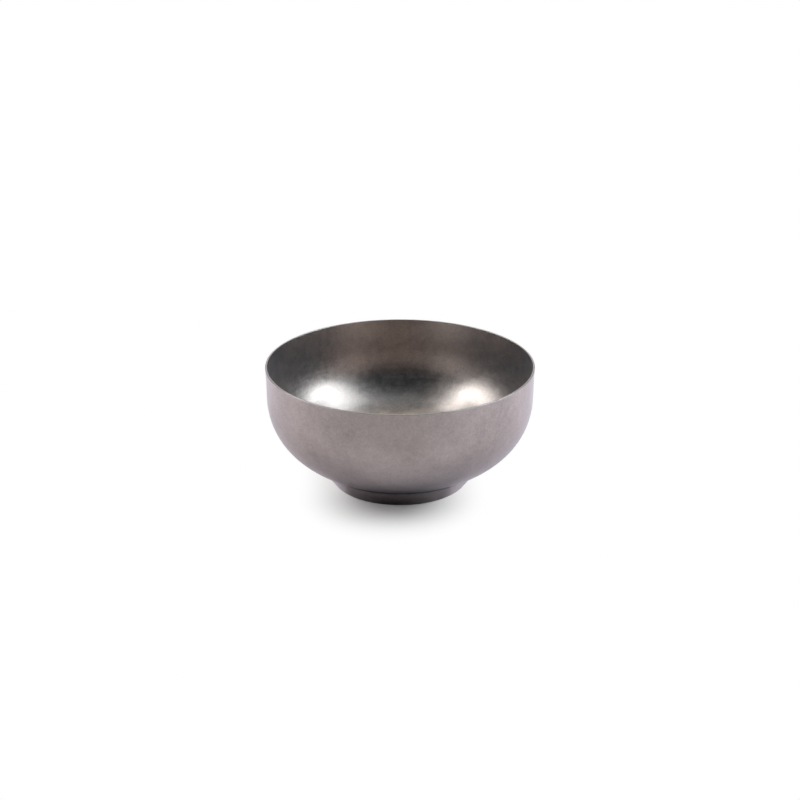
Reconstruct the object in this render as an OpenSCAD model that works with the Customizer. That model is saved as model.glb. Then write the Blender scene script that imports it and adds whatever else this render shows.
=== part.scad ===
// Footed bowl of satin stainless steel: a spun bowl, a pressed foot ring and the weld that joins them.
// Millimetres. The origin is on the table, under the middle of the bowl, and +Z goes up the bowl's axis.

/* [Bowl] */
// Outside diameter of the rim
rim_d = 140; // [120:1:180]
// Thickness of the bowl's sheet
sheet = 1; // [0.6:0.1:2]
// Height of the upright wall between the belly and the flare
wall_h = 1.8; // [0.5:0.1:15]
// Outside radius of the belly's upper turn
side_r = 38.3; // [32:0.1:46]
// Angle that the upper turn sweeps before the lower turn takes over
side_turn = 45; // [35:1:55]
// Outside radius of the belly's lower turn
base_r = 52; // [44:0.5:60]
// Height of the bowl's flat underside over the table
floor_rise = 6.4; // [4.5:0.1:10]

/* [Rim] */
// Height over which the wall flares slightly under the rim
flare_h = 14; // [8:0.5:24]
// How far the flare stands out from the upright wall
flare_out = 0.45; // [0.2:0.05:1.5]
// Radius of the two corners of the rim's cut edge
rim_edge_r = 0.2; // [0.1:0.02:0.28]

/* [Foot] */
// Diameter at which the foot's cone would meet the table
foot_d = 68.6; // [60:0.2:76]
// Angle of the foot's cone from upright
foot_taper = 37.5; // [25:0.5:45]
// Thickness of the foot's sheet
foot_sheet = 1; // [0.6:0.1:1.5]
// Outside radius of the bend at the bottom of the foot
foot_bend_r = 3; // [2:0.1:5]
// Width of the flat flange that the foot rests on
flange_w = 4; // [2:0.1:8]
// Radius of the ground weld in the corner between foot and bowl
weld_r = 2; // [1.6:0.1:8]

/* [Hidden] */

// Facets round the axis, and the angle between points along an arc
$fn = 240;
arc_step = 2;

steel = [0.55, 0.51, 0.5];

// Points of an arc about a centre, from one angle to another
function arc(centre, radius, from, to) =
    let (steps = max(2, ceil(abs(to - from) / arc_step)))
    [for (i = [0 : steps]) centre + radius * ray(from + (to - from) * i / steps)];

// Unit vector at an angle from the outward direction, and the angle of a vector
function ray(angle) = [cos(angle), sin(angle)];
function bearing(v) = atan2(v.y, v.x);

// Rim: angle and middle radius of the flare, and how far the cut edge reaches from the end of the sheet's middle
flare_lean = 2 * atan(flare_out / flare_h);
flare_mid_r = flare_h / sin(flare_lean);
edge_half = sheet / 2 - rim_edge_r;
edge_reach = edge_half * (cos(flare_lean) + sin(flare_lean)) + rim_edge_r;

// Outline of the bowl: radius of the upright wall, and the centres of its turns and flare
wall_r = rim_d / 2 - edge_reach - flare_out + sheet / 2;
side_c = [wall_r - side_r, floor_rise + base_r - (base_r - side_r) * sin(side_turn)];
base_c = [side_c.x - (base_r - side_r) * cos(side_turn), floor_rise + base_r];
flare_c = [wall_r - sheet / 2 + flare_mid_r, side_c.y + wall_h];

// Rim's cut edge: the end of the sheet's middle, and the centres of its outer and inner corners
rim_c = flare_c + flare_mid_r * ray(180 - flare_lean);
edge_out = rim_c + edge_half * (ray(90 - flare_lean) + ray(-flare_lean));
edge_in = rim_c + edge_half * (ray(90 - flare_lean) - ray(-flare_lean));

// Foot: directions along its cone and out of it, and the corner where the cone would meet the table
foot_up = ray(90 - foot_taper);
foot_out = ray(-foot_taper);
foot_corner = [foot_d / 2, 0];
bend_c = [
    foot_corner.x + foot_bend_r * ((1 - sin(foot_taper)) * tan(foot_taper) - cos(foot_taper)),
    foot_bend_r
];

// Point on a line along the foot's cone where it first reaches a circle about the lower turn's centre
function reach(start, radius) =
    let (
        away = start - base_c,
        along = away * foot_up,
        rest = away * away - radius * radius
    )
    start - (along + sqrt(along * along - rest)) * foot_up;

// Joint: the foot's square top edge touches the bowl at its inner corner, and the weld fills the rest
joint_in = reach(foot_corner - foot_sheet * foot_out, base_r);
joint_out = joint_in + foot_sheet * foot_out;
weld_c = reach(foot_corner + weld_r * foot_out, base_r + weld_r);
seat_from = bearing(weld_c - base_c);
seat_to = bearing(joint_in - base_c);

// Stretch of the bowl's outside that the weld lies on
function seat() = arc(base_c, base_r, seat_from, seat_to);

// Spun bowl: down the outside, across the underside and back up the inside
module bowl_shell() {
    color(steel)
    rotate_extrude()
    polygon(concat(
        arc(edge_out, rim_edge_r, 90 - flare_lean, -flare_lean),
        arc(flare_c, flare_mid_r - sheet / 2, 180 - flare_lean, 180),
        arc(side_c, side_r, 0, -side_turn),
        arc(base_c, base_r, -side_turn, seat_from),
        seat(),
        arc(base_c, base_r, seat_to, -90),
        [[0, floor_rise], [0, floor_rise + sheet]],
        arc(base_c, base_r - sheet, -90, -side_turn),
        arc(side_c, side_r - sheet, -side_turn, 0),
        arc(flare_c, flare_mid_r + sheet / 2, 180, 180 - flare_lean),
        arc(edge_in, rim_edge_r, 180 - flare_lean, 90 - flare_lean)
    ));
}

// Pressed foot: down the cone's outside, round the bend, along the flange and back up the inside
module foot_ring() {
    color(steel)
    rotate_extrude()
    polygon(concat(
        [joint_in, joint_out],
        arc(bend_c, foot_bend_r, -foot_taper, -90),
        [[bend_c.x - flange_w, 0], [bend_c.x - flange_w, foot_sheet]],
        arc(bend_c, foot_bend_r - foot_sheet, -90, -foot_taper)
    ));
}

// Weld: on the foot's top edge and the bowl's underside, with a hollow ground face
module foot_weld() {
    color(steel)
    rotate_extrude()
    polygon(concat(
        [joint_out],
        arc(weld_c, weld_r, 180 - foot_taper, seat_from + 180),
        seat()
    ));
}

bowl_shell();
foot_ring();
foot_weld();
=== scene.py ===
# Satin steel bowl on its welded foot ring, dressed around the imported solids. Metres; the bowl's axis is Z.
import math

import bmesh
import bpy
import numpy as np
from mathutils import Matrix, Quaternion, Vector


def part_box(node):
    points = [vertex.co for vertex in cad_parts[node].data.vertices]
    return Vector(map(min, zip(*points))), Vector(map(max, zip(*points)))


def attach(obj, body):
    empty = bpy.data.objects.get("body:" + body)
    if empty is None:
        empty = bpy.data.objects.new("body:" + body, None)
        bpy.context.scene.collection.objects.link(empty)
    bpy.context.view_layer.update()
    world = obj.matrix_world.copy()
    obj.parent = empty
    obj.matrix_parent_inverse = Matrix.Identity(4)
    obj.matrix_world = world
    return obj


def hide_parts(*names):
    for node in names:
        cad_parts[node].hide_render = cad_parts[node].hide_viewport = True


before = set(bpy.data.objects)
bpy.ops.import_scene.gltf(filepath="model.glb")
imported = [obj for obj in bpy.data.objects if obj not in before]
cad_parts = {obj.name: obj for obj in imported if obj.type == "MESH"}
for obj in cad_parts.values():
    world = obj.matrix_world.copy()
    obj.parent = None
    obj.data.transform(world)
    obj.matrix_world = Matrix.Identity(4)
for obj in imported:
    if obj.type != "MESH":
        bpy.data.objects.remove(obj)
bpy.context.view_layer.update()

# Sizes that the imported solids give
shell_low, shell_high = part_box("bowl_shell")
RIM_R = shell_high.x
RIM_TOP = shell_high.z
FLOOR_RISE = shell_low.z

# Bowl's sheet, its turns, its flare and the corners of its rim, as in the part's source
SHEET = 0.001
SIDE_R = 0.0383
SIDE_TURN = 45.0
BASE_R = 0.052
FLARE_H = 0.014
FLARE_OUT = 0.00045
RIM_EDGE_R = 0.0002

# Foot ring and weld, as in the part's source
FOOT_R = 0.0343
FOOT_TAPER = 37.5
FOOT_SHEET = 0.001
FOOT_BEND_R = 0.003
FLANGE_W = 0.004
WELD_R = 0.002

# Length over which spinning eases one turn of the sheet into the next
EASE = 0.0017

# Steps round the axis, spacing of points along the sheet, and angles between points on small arcs
AROUND = 320
SHEET_STEP = 0.0009
ARC_STEP = 3.0
EDGE_STEP = 15.0

# Points that lie closer than this become one, and edges that turn by more degrees than this are sharp
SAME_POINT = 1e-7
SHARP_TURN = 35.0

# Wear: the edge radius that is rubbed bright all over, and how high over the table the foot is scuffed
WORN_EDGE_R = 0.001
SCUFF_RISE = 0.0004

# How far the painted shade in the corner over the foot fades up the belly and down the foot
PAINTED_SHADE_UP = 0.016
PAINTED_SHADE_DOWN = 0.004

# Steel: dark and light tones of the satin sheets and of the ground weld, rubbed edges, and the painted shade
# over the foot
SATIN_TONES = ((0.345, 0.284, 0.255), (0.575, 0.472, 0.425))
WELD_TONES = ((0.3, 0.247, 0.222), (0.5, 0.41, 0.37))
RUBBED_STEEL = (0.52, 0.485, 0.465)
PAINTED_SHADE_STEEL = (0.17, 0.141, 0.13)

# Roughness, rings per metre along the sheet, and how much the rings vary the roughness
SATIN_ROUGH = (0.30, 0.37)
WELD_ROUGH = (0.27, 0.34)
SPUN_RINGS = 900.0
GROUND_RINGS = 3000.0
SPUN_SHARE = 0.02
GROUND_SHARE = 0.04

# Soft sheen of the satin, which the ground weld lacks, and its bluish tint
SATIN_SHEEN = 0.078
WELD_SHEEN = 0.0
SHEEN_ROUGH = 1.0
SHEEN_TINT = (0.48, 0.66, 0.83, 1.0)

# Noise scales per metre, what each noise adds to the tone, and where in the first one the bowl's clouds lie
CLOUD_SCALE = 45.0
MOTTLE_SCALE = 260.0
GRAIN_SCALE = 1000.0
CLOUD_TONE = (-0.03, 0.37)
MOTTLE_TONE = (0.0, 0.29)
GRAIN_TONE = (0.0, 0.4)
CLOUD_SHIFT = (-7.44, 2.65, -5.44)

# Detail of wide and fine noises, and the ranges that are taken from them
WIDE_DETAIL = 3.0
FINE_DETAIL = 2.0
NOISE_RANGE = (0.3, 0.7)
RING_RANGE = (0.25, 0.75)
RUB_RANGE = (0.35, 0.65)

# Shares of an edge that are rubbed bright, how much smoother they get, and where the painted shade starts
# and is full
RUB_SHARE = (0.5, 1.0)
RUB_SMOOTH = 0.04
PAINTED_SHADE_RANGE = (0.5, 0.9)

# Bump: its strength, its depth, and the rings' height against the grain's
BUMP_STRENGTH = 0.5
BUMP_DEPTH = 0.00004
RING_HEIGHT = 0.5

# Camera, as fitted to the photograph's rim, belly and foot
CAMERA_AWAY = 1.12
CAMERA_RISE = 20.8
CAMERA_LENS = 96.96
CAMERA_SENSOR = 36.0
CAMERA_NEAR = 0.01
AIM_UNDER_RIM = 0.01995

# Table: radius and sides, its paint under light, as the camera sees it, and darker as a painted shadow under
# the bowl
TABLE_R = 12.0
TABLE_SIDES = 96
TABLE_PAINT = (0.84, 0.77, 0.80)
TABLE_SEEN = (1.0, 0.91, 0.86)
TABLE_PAINTED_SHADOW = (0.36, 0.315, 0.335)

# Painted shadow on the table under the bowl: the radius where the paint is full again, and how far to the
# sides it gives way
PAINTED_SHADOW_END = 1.5 * FOOT_R
OPEN_SHIFT = 0.12
OPEN_RANGE = (0.25, 0.7)

# Shadow that the camera sees in an oval: shift, width and stretch, where it is full and gone, and its white
SHADOW_SHIFT = -0.0042
SHADOW_NARROW = 0.894
SHADOW_STRETCH = 0.0231
SHADOW_FULL = 0.0135
SHADOW_GONE = 0.0565
SHADOW_LIFT = 0.136

# Glow that reflections see on the table: tint, strengths, turn, and the radii where it starts and is full
GLOW_TINT = (0.85, 0.83, 1.0)
GLOW_FRONT = 0.042
GLOW_BACK = 0.62
GLOW_TURN = math.radians(5)
GLOW_START = 0.042
GLOW_END = 0.065

# Glow close beside the foot: its strength, the radius where it ends, and how far to the sides it lies
FLANK_GLOW = 0.44
FLANK_END = 0.06
FLANK_SHIFT = 0.05
FLANK_RANGE = (0.68, 0.92)

# Backdrop: its radius, height, half angle, and points across
BACKDROP_R = 2.5
BACKDROP_H = 2.0
BACKDROP_TURN = 14.0
BACKDROP_POINTS = 49

# Room and lamps: tints, the room's strength, and how far the lamps stand from the bowl
WHITE = (1.0, 1.0, 1.0)
ROOM_TINT = (0.3, 0.58, 1.0)
ROOM_LIGHT = 0.004
COOL = (0.84, 1.0, 1.1)
PALE = (0.91, 1.0, 1.04)
WARM = (1.01, 1.0, 0.9)
LAMP_AWAY = 0.7

# Lamps: azimuth, rise, lean, width, height, radiance and tint
LAMPS = {
    "low_box_right": (94.0, 23.0, 0.0, 0.42, 0.15, 6.9, COOL),
    "high_box_right": (80.6, 41.8, -16.0, 0.38, 0.48, 3.75, COOL),
    "low_box_left": (-94.5, 27.5, 0.0, 0.48, 0.255, 4.6, PALE),
    "high_box_left": (-81.4, 47.6, 19.0, 0.082, 0.44, 9.9, PALE),
    "top_back_panel": (178.0, 72.5, 0.0, 0.48, 0.23, 2.6, WARM),
    "top_front_panel": (10.0, 72.0, 0.0, 0.36, 0.2, 0.54, COOL),
}


# Profile, as points (radius, height)


def ray(angle):
    """Unit vectors at angles in degrees from the outward direction."""
    turn = np.radians(angle)
    return np.stack([np.cos(turn), np.sin(turn)], -1)


def arc(centre, radius, start, end, step=ARC_STEP):
    """Points centre + radius * ray(angle), with the angle going evenly from start to end."""
    count = max(2, math.ceil(abs(end - start) / step))
    return centre + radius * ray(np.linspace(start, end, count + 1))


def bearing(vector):
    """Angle of a vector in degrees."""
    return math.degrees(math.atan2(vector[1], vector[0]))


# Rim: the flare's angle and middle radius, how far the cut edge reaches, and the end of the sheet's middle
flare_lean = 2 * math.degrees(math.atan2(FLARE_OUT, FLARE_H))
flare_mid_r = FLARE_H / math.sin(math.radians(flare_lean))
edge_half = SHEET / 2 - RIM_EDGE_R
edge_reach = edge_half * ray(flare_lean).sum() + RIM_EDGE_R
rim_c = np.array([RIM_R - edge_reach, RIM_TOP - edge_reach])

# Belly: the radius of the upright wall, and the centres of the upper and lower turns
wall_r = rim_c[0] - FLARE_OUT + SHEET / 2
base_minus_side = (BASE_R - SIDE_R) * ray(SIDE_TURN)
side_c = np.array([wall_r - SIDE_R, FLOOR_RISE + BASE_R - base_minus_side[1]])
base_c = np.array([side_c[0] - base_minus_side[0], FLOOR_RISE + BASE_R])

# Foot: directions along its cone and out of it, and the centre of its bend
foot_up = ray(90 - FOOT_TAPER)
foot_out = ray(-FOOT_TAPER)
foot_corner = np.array([FOOT_R, 0.0])
bend_in = foot_out[0] + (1 + foot_out[1]) * foot_out[1] / foot_out[0]
bend_c = np.array([FOOT_R - FOOT_BEND_R * bend_in, FOOT_BEND_R])


def reach(start, radius):
    """First point up a line along the foot's cone at a distance from the lower turn's centre."""
    away = start - base_c
    along = away @ foot_up
    return start - (along + math.sqrt(along**2 - away @ away + radius**2)) * foot_up


# Joint: the foot's square top edge under the belly, and the weld's hollow face in the corner
joint_in = reach(foot_corner - FOOT_SHEET * foot_out, BASE_R)
joint_out = joint_in + FOOT_SHEET * foot_out
weld_c = reach(foot_corner + WELD_R * foot_out, BASE_R + WELD_R)
seat_from = bearing(weld_c - base_c)
seat_to = bearing(joint_in - base_c)


def shell_midline():
    """Points along the middle of the bowl's sheet, from the axis to the rim, and their headings in degrees.

    The heading at the distance s is the sum, over the places p where the curvature changes, of that change
    times EASE log(1 + exp((s - p) / EASE)), so that each turn eases into the next. The line stands on the
    weld's seat, and what is left over at the rim is spread along the wall.
    """
    base_mid_r = BASE_R - SHEET / 2
    side_mid_r = SIDE_R - SHEET / 2
    curvatures = [0.0, 1 / base_mid_r, 1 / side_mid_r, 0.0, -1 / flare_mid_r]
    lengths = [
        base_c[0],
        base_mid_r * math.radians(90 - SIDE_TURN),
        side_mid_r * math.radians(SIDE_TURN),
        rim_c[1] - FLARE_H - side_c[1],
        flare_mid_r * math.radians(flare_lean),
    ]
    ends = np.cumsum(lengths)
    s = np.linspace(0.0, ends[-1], math.ceil(ends[-1] / SHEET_STEP) + 1)
    ramps = EASE * np.logaddexp(0.0, (s[:, None] - ends[:-1]) / EASE)
    heading = np.degrees(ramps @ np.diff(curvatures))
    steps = ray((heading[:-1] + heading[1:]) / 2) * np.diff(s)[:, None]
    line = np.concatenate([[[0.0, 0.0]], np.cumsum(steps, axis=0)])
    seat_mid = (seat_from + seat_to) / 2
    seat_s = ends[0] + base_mid_r * math.radians(seat_mid + 90)
    seat_rise = base_c[1] + base_mid_r * ray(seat_mid)[1]
    line[:, 1] += seat_rise - np.interp(seat_s, s, line[:, 1])
    line += (rim_c - line[-1]) * np.clip((s - seat_s) / (ends[-1] - seat_s), 0.0, 1.0)[:, None]
    return line, heading


def shell_profile():
    """Half a sheet to each side of the midline: up the outside, round the rim and back down the inside."""
    line, heading = shell_midline()
    half = SHEET / 2 * ray(heading - 90)
    up = heading[-1]
    edge_out = rim_c + edge_half * (ray(up) + ray(up - 90))
    edge_in = rim_c + edge_half * (ray(up) - ray(up - 90))
    profile = np.concatenate([
        line + half,
        arc(edge_out, RIM_EDGE_R, up - 90, up, EDGE_STEP),
        arc(edge_in, RIM_EDGE_R, up, up + 90, EDGE_STEP),
        (line - half)[::-1],
    ])
    profile[[0, -1], 0] = 0.0
    return profile


def foot_profile():
    """From the top edge down the inside of the cone, along the flange, round the bend and up the outside."""
    edge_r = FOOT_SHEET / 2
    edge_c = np.array([bend_c[0] - FLANGE_W + edge_r, edge_r])
    return np.concatenate([
        [joint_in],
        arc(bend_c, FOOT_BEND_R - FOOT_SHEET, -FOOT_TAPER, -90),
        arc(edge_c, edge_r, 90, 270, EDGE_STEP),
        arc(bend_c, FOOT_BEND_R, -90, -FOOT_TAPER),
        [joint_out, joint_in],
    ])


def weld_profile():
    """From the foot's top edge up the hollow face, back down the belly that the weld lies on, and across."""
    return np.concatenate([
        [joint_out],
        arc(weld_c, WELD_R, 180 - FOOT_TAPER, seat_from + 180),
        arc(base_c, BASE_R, seat_from, seat_to)[1:],
        [joint_out],
    ])


# Surfaces of revolution


def bend(profile):
    """Curvature of the profile at each point, positive where its outside bulges and negative in hollows."""
    step = np.diff(profile, axis=0)
    length = np.linalg.norm(step, axis=1)
    turn = np.diff(np.unwrap(np.arctan2(step[:, 1], step[:, 0])))
    return np.pad(2 * turn / (length[:-1] + length[1:]), 1)


def worn(profile):
    """Wear from 0 to 1: how sharply the profile turns outwards, or how close it lies to the table."""
    scuffed = 1 - profile[:, 1] / SCUFF_RISE
    return np.clip(np.maximum(bend(profile) * WORN_EDGE_R, scuffed), 0.0, 1.0)


def painted_shade(profile):
    """Painted shade from 0 to 1: how close a point outside the bowl lies to the middle of the weld's face.
    """
    away = profile - weld_c - WELD_R * ray((180 - FOOT_TAPER + seat_from + 180) / 2)
    fade = np.where(away[:, 1] > 0, PAINTED_SHADE_UP, PAINTED_SHADE_DOWN)
    outside = np.linalg.norm(profile - base_c, axis=1) > BASE_R - SHEET / 2
    return outside * np.clip(1 - np.linalg.norm(away, axis=1) / fade, 0.0, 1.0)


def lathe(name, profile):
    """Surface of revolution: the profile's point (r, z) at the turn t lies at (r cos t, r sin t, z).

    The profile goes up the outside and starts and ends on the axis or at one point. Joining equal points
    closes the poles and seams. The attribute run is the distance along the profile, worn is its wear, a
    third attribute holds the painted shade in the corner over the foot, and the UV map has turn and run.
    """
    run = np.concatenate([[0.0], np.cumsum(np.linalg.norm(np.diff(profile, axis=0), axis=1))])
    turn = np.linspace(0.0, 2 * np.pi, AROUND + 1)
    r, z = profile.T[:, :, None]
    points = np.stack([r * np.cos(turn), r * np.sin(turn), z + 0 * turn], -1).reshape(-1, 3)
    uv = np.stack(np.broadcast_arrays(turn / (2 * np.pi), run[:, None] / run[-1]), -1).reshape(-1, 2)
    index = np.arange(len(points)).reshape(len(profile), AROUND + 1)
    corners = [index[:-1, :-1], index[:-1, 1:], index[1:, 1:], index[1:, :-1]]
    faces = np.stack(corners, -1).reshape(-1, 4)
    mesh = bpy.data.meshes.new(name)
    mesh.from_pydata(points.tolist(), [], faces.tolist())
    for label, value in (("run", run), ("worn", worn(profile)), ("painted_shade", painted_shade(profile))):
        layer = mesh.attributes.new(label, "FLOAT", "POINT")
        layer.data.foreach_set("value", np.repeat(value, AROUND + 1))
    mesh.uv_layers.new(name="OFBake").data.foreach_set("uv", uv[faces].ravel())
    grid = bmesh.new()
    grid.from_mesh(mesh)
    bmesh.ops.remove_doubles(grid, verts=grid.verts, dist=SAME_POINT)
    grid.to_mesh(mesh)
    grid.free()
    mesh.shade_smooth()
    mesh.set_sharp_from_angle(angle=math.radians(SHARP_TURN))
    piece = bpy.data.objects.new(name, mesh)
    bpy.context.scene.collection.objects.link(piece)
    return piece


# Nodes


def add(tree, kind, inputs, **options):
    """Adds a node with its options, and links or sets each of its inputs."""
    made = tree.nodes.new(kind)
    for name, value in options.items():
        setattr(made, name, value)
    for key, value in inputs.items():
        if isinstance(value, bpy.types.NodeSocket):
            tree.links.new(value, made.inputs[key])
        else:
            made.inputs[key].default_value = value
    return made


def own_place(tree):
    """The object's own coordinates."""
    return add(tree, "ShaderNodeTexCoord", {}).outputs["Object"]


def attribute(tree, name):
    """Value that the mesh keeps under a name."""
    return add(tree, "ShaderNodeAttribute", {}, attribute_name=name).outputs["Fac"]


def noise(tree, place, scale, detail):
    """Noise from 0 to 1 over the object's own coordinates, scale times a metre."""
    inputs = {"Vector": place, "Scale": scale, "Detail": detail}
    return add(tree, "ShaderNodeTexNoise", inputs).outputs["Fac"]


def lines(tree, run, scale, detail):
    """Noise from 0 to 1 along the profile only, so that it makes rings round the axis."""
    inputs = {"W": run, "Scale": scale, "Detail": detail}
    return add(tree, "ShaderNodeTexNoise", inputs, noise_dimensions="1D").outputs["Fac"]


def remap(tree, value, source, target=(0.0, 1.0), smooth=False):
    """Carries a value from one range to another, each as its two ends, and holds it there."""
    inputs = {"Value": value}
    inputs["From Min"], inputs["From Max"] = source
    inputs["To Min"], inputs["To Max"] = target
    kind = "SMOOTHSTEP" if smooth else "LINEAR"
    return add(tree, "ShaderNodeMapRange", inputs, interpolation_type=kind).outputs["Result"]


def work(tree, operation, first, second):
    """Arithmetic on two values."""
    return add(tree, "ShaderNodeMath", {0: first, 1: second}, operation=operation).outputs["Value"]


def unsigned(tree, value):
    """A value without its sign."""
    return add(tree, "ShaderNodeMath", {0: value}, operation="ABSOLUTE").outputs["Value"]


def vector_work(tree, operation, output, *vectors):
    """Arithmetic on vectors, with a value or a vector as its output."""
    return add(tree, "ShaderNodeVectorMath", dict(enumerate(vectors)), operation=operation).outputs[output]


def blend(tree, factor, first, second):
    """Colour between two colours."""
    made = add(tree, "ShaderNodeMix", {"Factor": factor}, data_type="RGBA")
    for key, value in (("A_Color", first), ("B_Color", second)):
        socket = next(s for s in made.inputs if s.identifier == key)
        if isinstance(value, bpy.types.NodeSocket):
            tree.links.new(value, socket)
        else:
            socket.default_value = (*value, 1.0)
    return next(s for s in made.outputs if s.identifier == "Result_Color")


def between(tree, share, first, second):
    """Shader between two shaders."""
    return add(tree, "ShaderNodeMixShader", {0: share, 1: first, 2: second}).outputs["Shader"]


def glowing(tree, colour, strength):
    """Shader that gives light."""
    inputs = {"Color": (*colour, 1.0), "Strength": strength}
    return add(tree, "ShaderNodeEmission", inputs).outputs["Emission"]


def shown(tree):
    """Shares of camera rays and of rays that metal or glass sends on, from 0 to 1."""
    path = add(tree, "ShaderNodeLightPath", {}).outputs
    return path["Is Camera Ray"], work(tree, "MAXIMUM", path["Is Glossy Ray"], path["Is Transmission Ray"])


def empty_material(name):
    """Material without nodes, and its tree."""
    material = bpy.data.materials.new(name)
    material.use_nodes = True
    material.node_tree.nodes.clear()
    return material, material.node_tree


# Materials


def steel(name, tones, rough, rings, ring_share, sheen):
    """Satin steel: cloudy, mottled tone, fine blasted grain, and faint rings from spinning or grinding.

    Its edges are rubbed bright, and a painted shade darkens it in the corner over the foot.
    """
    material = bpy.data.materials.new(name)
    material.use_nodes = True
    tree = material.node_tree
    shader = tree.nodes["Principled BSDF"]
    place = own_place(tree)
    cloud = noise(tree, vector_work(tree, "ADD", "Vector", place, CLOUD_SHIFT), CLOUD_SCALE, WIDE_DETAIL)
    mottle = noise(tree, place, MOTTLE_SCALE, WIDE_DETAIL)
    grain = noise(tree, place, GRAIN_SCALE, FINE_DETAIL)
    ring = lines(tree, attribute(tree, "run"), rings, FINE_DETAIL)
    clouds = remap(tree, cloud, NOISE_RANGE, CLOUD_TONE)
    mottled = work(tree, "ADD", clouds, remap(tree, mottle, NOISE_RANGE, MOTTLE_TONE))
    tone = work(tree, "ADD", mottled, remap(tree, grain, NOISE_RANGE, GRAIN_TONE))
    rubbed = work(tree, "MULTIPLY", attribute(tree, "worn"), remap(tree, mottle, RUB_RANGE, RUB_SHARE))
    # Painted shade: darker steel in the corner where the belly meets the foot and its weld
    painted_shade_share = remap(tree, attribute(tree, "painted_shade"), PAINTED_SHADE_RANGE)
    plain = blend(tree, painted_shade_share, blend(tree, tone, *tones), PAINTED_SHADE_STEEL)
    tree.links.new(blend(tree, rubbed, plain, RUBBED_STEEL), shader.inputs["Base Color"])
    turned = remap(tree, ring, RING_RANGE, (-ring_share, ring_share))
    satin = work(tree, "ADD", remap(tree, mottle, NOISE_RANGE, rough), turned)
    smoother = work(tree, "MULTIPLY", rubbed, RUB_SMOOTH)
    tree.links.new(work(tree, "SUBTRACT", satin, smoother), shader.inputs["Roughness"])
    height = work(tree, "ADD", grain, work(tree, "MULTIPLY", ring, RING_HEIGHT))
    inputs = {"Strength": BUMP_STRENGTH, "Distance": BUMP_DEPTH, "Height": height}
    tree.links.new(add(tree, "ShaderNodeBump", inputs).outputs["Normal"], shader.inputs["Normal"])
    shader.inputs["Metallic"].default_value = 1.0
    shader.inputs["Sheen Weight"].default_value = sheen
    shader.inputs["Sheen Roughness"].default_value = SHEEN_ROUGH
    shader.inputs["Sheen Tint"].default_value = SHEEN_TINT
    return material


def shadow_clear(tree, place):
    """Share of white that clears the shadow: least in an oval about the foot, and full outside it."""
    spot = add(tree, "ShaderNodeSeparateXYZ", {0: place}).outputs
    across = work(tree, "DIVIDE", work(tree, "SUBTRACT", spot["X"], SHADOW_SHIFT), SHADOW_NARROW)
    along = work(tree, "MAXIMUM", work(tree, "SUBTRACT", unsigned(tree, spot["Y"]), SHADOW_STRETCH), 0.0)
    oval = add(tree, "ShaderNodeCombineXYZ", {"X": across, "Y": along}).outputs["Vector"]
    away = vector_work(tree, "LENGTH", "Value", oval)
    return remap(tree, away, (SHADOW_FULL, SHADOW_GONE), (SHADOW_LIFT, 1.0), smooth=True)


def aside(tree, outward, shift):
    """How far a direction points to either side, with the middle between them shifted to the left."""
    sideways = add(tree, "ShaderNodeSeparateXYZ", {0: outward}).outputs["X"]
    return unsigned(tree, work(tree, "ADD", sideways, shift))


def table_glow(tree, outward, radius):
    """Strength of the table's glow in reflections: it grows towards the back, and close beside the foot."""
    back = (math.sin(GLOW_TURN), math.cos(GLOW_TURN), 0.0)
    behind = vector_work(tree, "DOT_PRODUCT", "Value", outward, back)
    toward = remap(tree, behind, (-1.0, 1.0), (GLOW_FRONT, GLOW_BACK))
    far = work(tree, "MULTIPLY", toward, remap(tree, radius, (GLOW_START, GLOW_END)))
    flank = remap(tree, aside(tree, outward, FLANK_SHIFT), FLANK_RANGE, smooth=True)
    near = remap(tree, radius, (GLOW_START, FLANK_END), (FLANK_GLOW, 0.0))
    return work(tree, "ADD", far, work(tree, "MULTIPLY", flank, near))


def table_white():
    """Pale table: white with the bowl's shadow for the camera, and its own paint for light and reflections.

    The paint is darker under the bowl as a painted shadow, less so at the sides, and reflections also see a
    glow on it.
    """
    material, tree = empty_material("table_white")
    place = own_place(tree)
    outward = vector_work(tree, "NORMALIZE", "Vector", place)
    radius = vector_work(tree, "LENGTH", "Value", place)
    seen, mirrored = shown(tree)
    # Painted shadow: the paint darkens under the bowl, but not at its sides
    painted_shadow_open_side = remap(tree, aside(tree, outward, OPEN_SHIFT), OPEN_RANGE)
    clear_of_painted_shadow = work(tree, "MAXIMUM", painted_shadow_open_side, remap(tree, radius, (FOOT_R, PAINTED_SHADOW_END)))
    paint = blend(tree, seen, blend(tree, clear_of_painted_shadow, TABLE_PAINTED_SHADOW, TABLE_PAINT), TABLE_SEEN)
    matt = add(tree, "ShaderNodeBsdfDiffuse", {"Color": paint}).outputs["BSDF"]
    clear = work(tree, "MULTIPLY", shadow_clear(tree, place), seen)
    plain = between(tree, clear, matt, glowing(tree, WHITE, 1.0))
    glow = glowing(tree, GLOW_TINT, work(tree, "MULTIPLY", table_glow(tree, outward, radius), mirrored))
    both = add(tree, "ShaderNodeAddShader", {0: plain, 1: glow}).outputs["Shader"]
    add(tree, "ShaderNodeOutputMaterial", {"Surface": both})
    return material


def backdrop_white():
    """White paper: plain white for the camera and for reflections, and its own paint for other light."""
    material, tree = empty_material("backdrop_white")
    seen, mirrored = shown(tree)
    share = work(tree, "MAXIMUM", seen, mirrored)
    matt = add(tree, "ShaderNodeBsdfDiffuse", {"Color": (*TABLE_PAINT, 1.0)}).outputs["BSDF"]
    mixed = between(tree, share, matt, glowing(tree, WHITE, 1.0))
    add(tree, "ShaderNodeOutputMaterial", {"Surface": mixed})
    return material


# Studio


def stage_piece(name, points, faces, material):
    """Mesh that belongs to the studio and not to the bowl."""
    mesh = bpy.data.meshes.new(name)
    mesh.from_pydata(points.reshape(-1, 3).tolist(), [], faces.tolist())
    mesh.materials.append(material)
    piece = bpy.data.objects.new(name, mesh)
    bpy.context.scene.collection.objects.link(piece)


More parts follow.
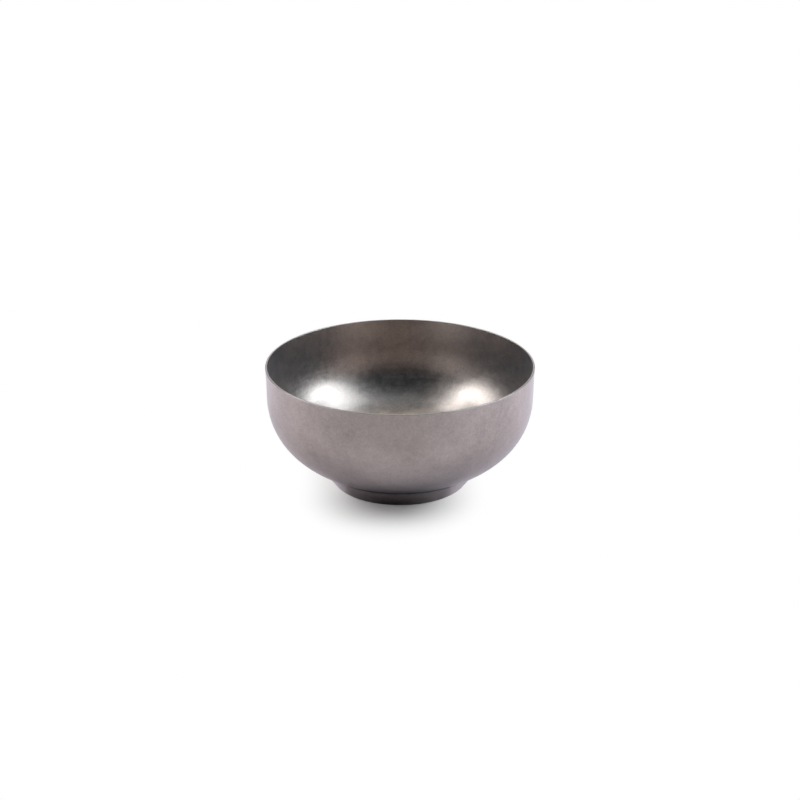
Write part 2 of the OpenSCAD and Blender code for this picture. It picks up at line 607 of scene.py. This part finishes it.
def table():
    """Flat disc: the point at the turn t lies at (R cos t, R sin t, 0)."""
    turn = np.linspace(0.0, 2 * np.pi, TABLE_SIDES, endpoint=False)
    points = TABLE_R * np.stack([np.cos(turn), np.sin(turn), 0 * turn], -1)
    stage_piece("table", points, np.arange(TABLE_SIDES)[None], table_white())


def backdrop():
    """Upright paper behind the bowl: the point at the turn t and height h lies at (R sin t, R cos t, h)."""
    turn = np.radians(np.linspace(-BACKDROP_TURN, BACKDROP_TURN, BACKDROP_POINTS))
    side = BACKDROP_R * np.stack([np.sin(turn), np.cos(turn), 0 * turn], -1)
    points = np.stack([side, side + [0.0, 0.0, BACKDROP_H]])
    low, high = np.arange(2 * BACKDROP_POINTS).reshape(2, BACKDROP_POINTS)
    faces = np.stack([low[:-1], high[:-1], high[1:], low[1:]], -1)
    stage_piece("backdrop", points, faces, backdrop_white())


def soft_box(name, azimuth, rise, lean, width, height, radiance, tint):
    """Area lamp turned to the bowl, at an azimuth to the right of the camera and a rise over the table.

    The lamp leans about its own axis. Its top goes towards the camera where the lean has the azimuth's sign.
    """
    turn = math.radians(azimuth)
    up = math.radians(rise)
    back = Vector((math.sin(turn) * math.cos(up), -math.cos(turn) * math.cos(up), math.sin(up)))
    lamp = bpy.data.lights.new(name, "AREA")
    lamp.shape = "RECTANGLE"
    lamp.size = width
    lamp.size_y = height
    lamp.energy = radiance * math.pi * width * height
    lamp.color = tint
    box = bpy.data.objects.new(name, lamp)
    box.location = Vector((0.0, 0.0, RIM_TOP / 2)) + LAMP_AWAY * back
    leaning = Quaternion((0.0, 0.0, 1.0), math.radians(lean))
    box.rotation_euler = (back.to_track_quat("Z", "Y") @ leaning).to_euler()
    box.visible_camera = False
    bpy.context.scene.collection.objects.link(box)


def surroundings():
    """Dim room for light and reflections, and white where the camera looks past the table."""
    world = bpy.data.worlds.new("room")
    world.use_nodes = True
    tree = world.node_tree
    tree.nodes.clear()
    inputs = {"Color": (*ROOM_TINT, 1.0), "Strength": ROOM_LIGHT}
    dim = add(tree, "ShaderNodeBackground", inputs).outputs["Background"]
    inputs = {"Color": (*WHITE, 1.0), "Strength": 1.0}
    white = add(tree, "ShaderNodeBackground", inputs).outputs["Background"]
    seen = add(tree, "ShaderNodeLightPath", {}).outputs["Is Camera Ray"]
    add(tree, "ShaderNodeOutputWorld", {"Surface": between(tree, seen, dim, white)})
    bpy.context.scene.world = world


def camera():
    """Camera in front of the bowl, aimed a little under the middle of the rim."""
    rim = Vector((0.0, 0.0, RIM_TOP))
    rise = math.radians(CAMERA_RISE)
    eye = rim + CAMERA_AWAY * Vector((0.0, -math.cos(rise), math.sin(rise)))
    aim = rim - Vector((0.0, 0.0, AIM_UNDER_RIM))
    lens = bpy.data.cameras.new("camera")
    lens.lens = CAMERA_LENS
    lens.sensor_width = CAMERA_SENSOR
    lens.clip_start = CAMERA_NEAR
    holder = bpy.data.objects.new("camera", lens)
    holder.location = eye
    holder.rotation_euler = (eye - aim).to_track_quat("Z", "Y").to_euler()
    bpy.context.scene.collection.objects.link(holder)
    bpy.context.scene.camera = holder


camera()
table()
backdrop()
surroundings()
for lamp_name, lamp_values in LAMPS.items():
    soft_box(lamp_name, *lamp_values)

satin_steel = steel("satin_steel", SATIN_TONES, SATIN_ROUGH, SPUN_RINGS, SPUN_SHARE, SATIN_SHEEN)
ground_weld = steel("ground_weld", WELD_TONES, WELD_ROUGH, GROUND_RINGS, GROUND_SHARE, WELD_SHEEN)

for node, profile, material, slot in (
    ("bowl_shell", shell_profile(), satin_steel, "satin_steel"),
    ("foot_ring", foot_profile(), satin_steel, "satin_steel"),
    ("foot_weld", weld_profile(), ground_weld, "ground_weld"),
):
    piece = lathe(node + "_satin", profile)
    piece.data.materials.append(material)
    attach(piece, "root")
    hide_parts(node)

bpy.context.scene.view_settings.view_transform = "Standard"
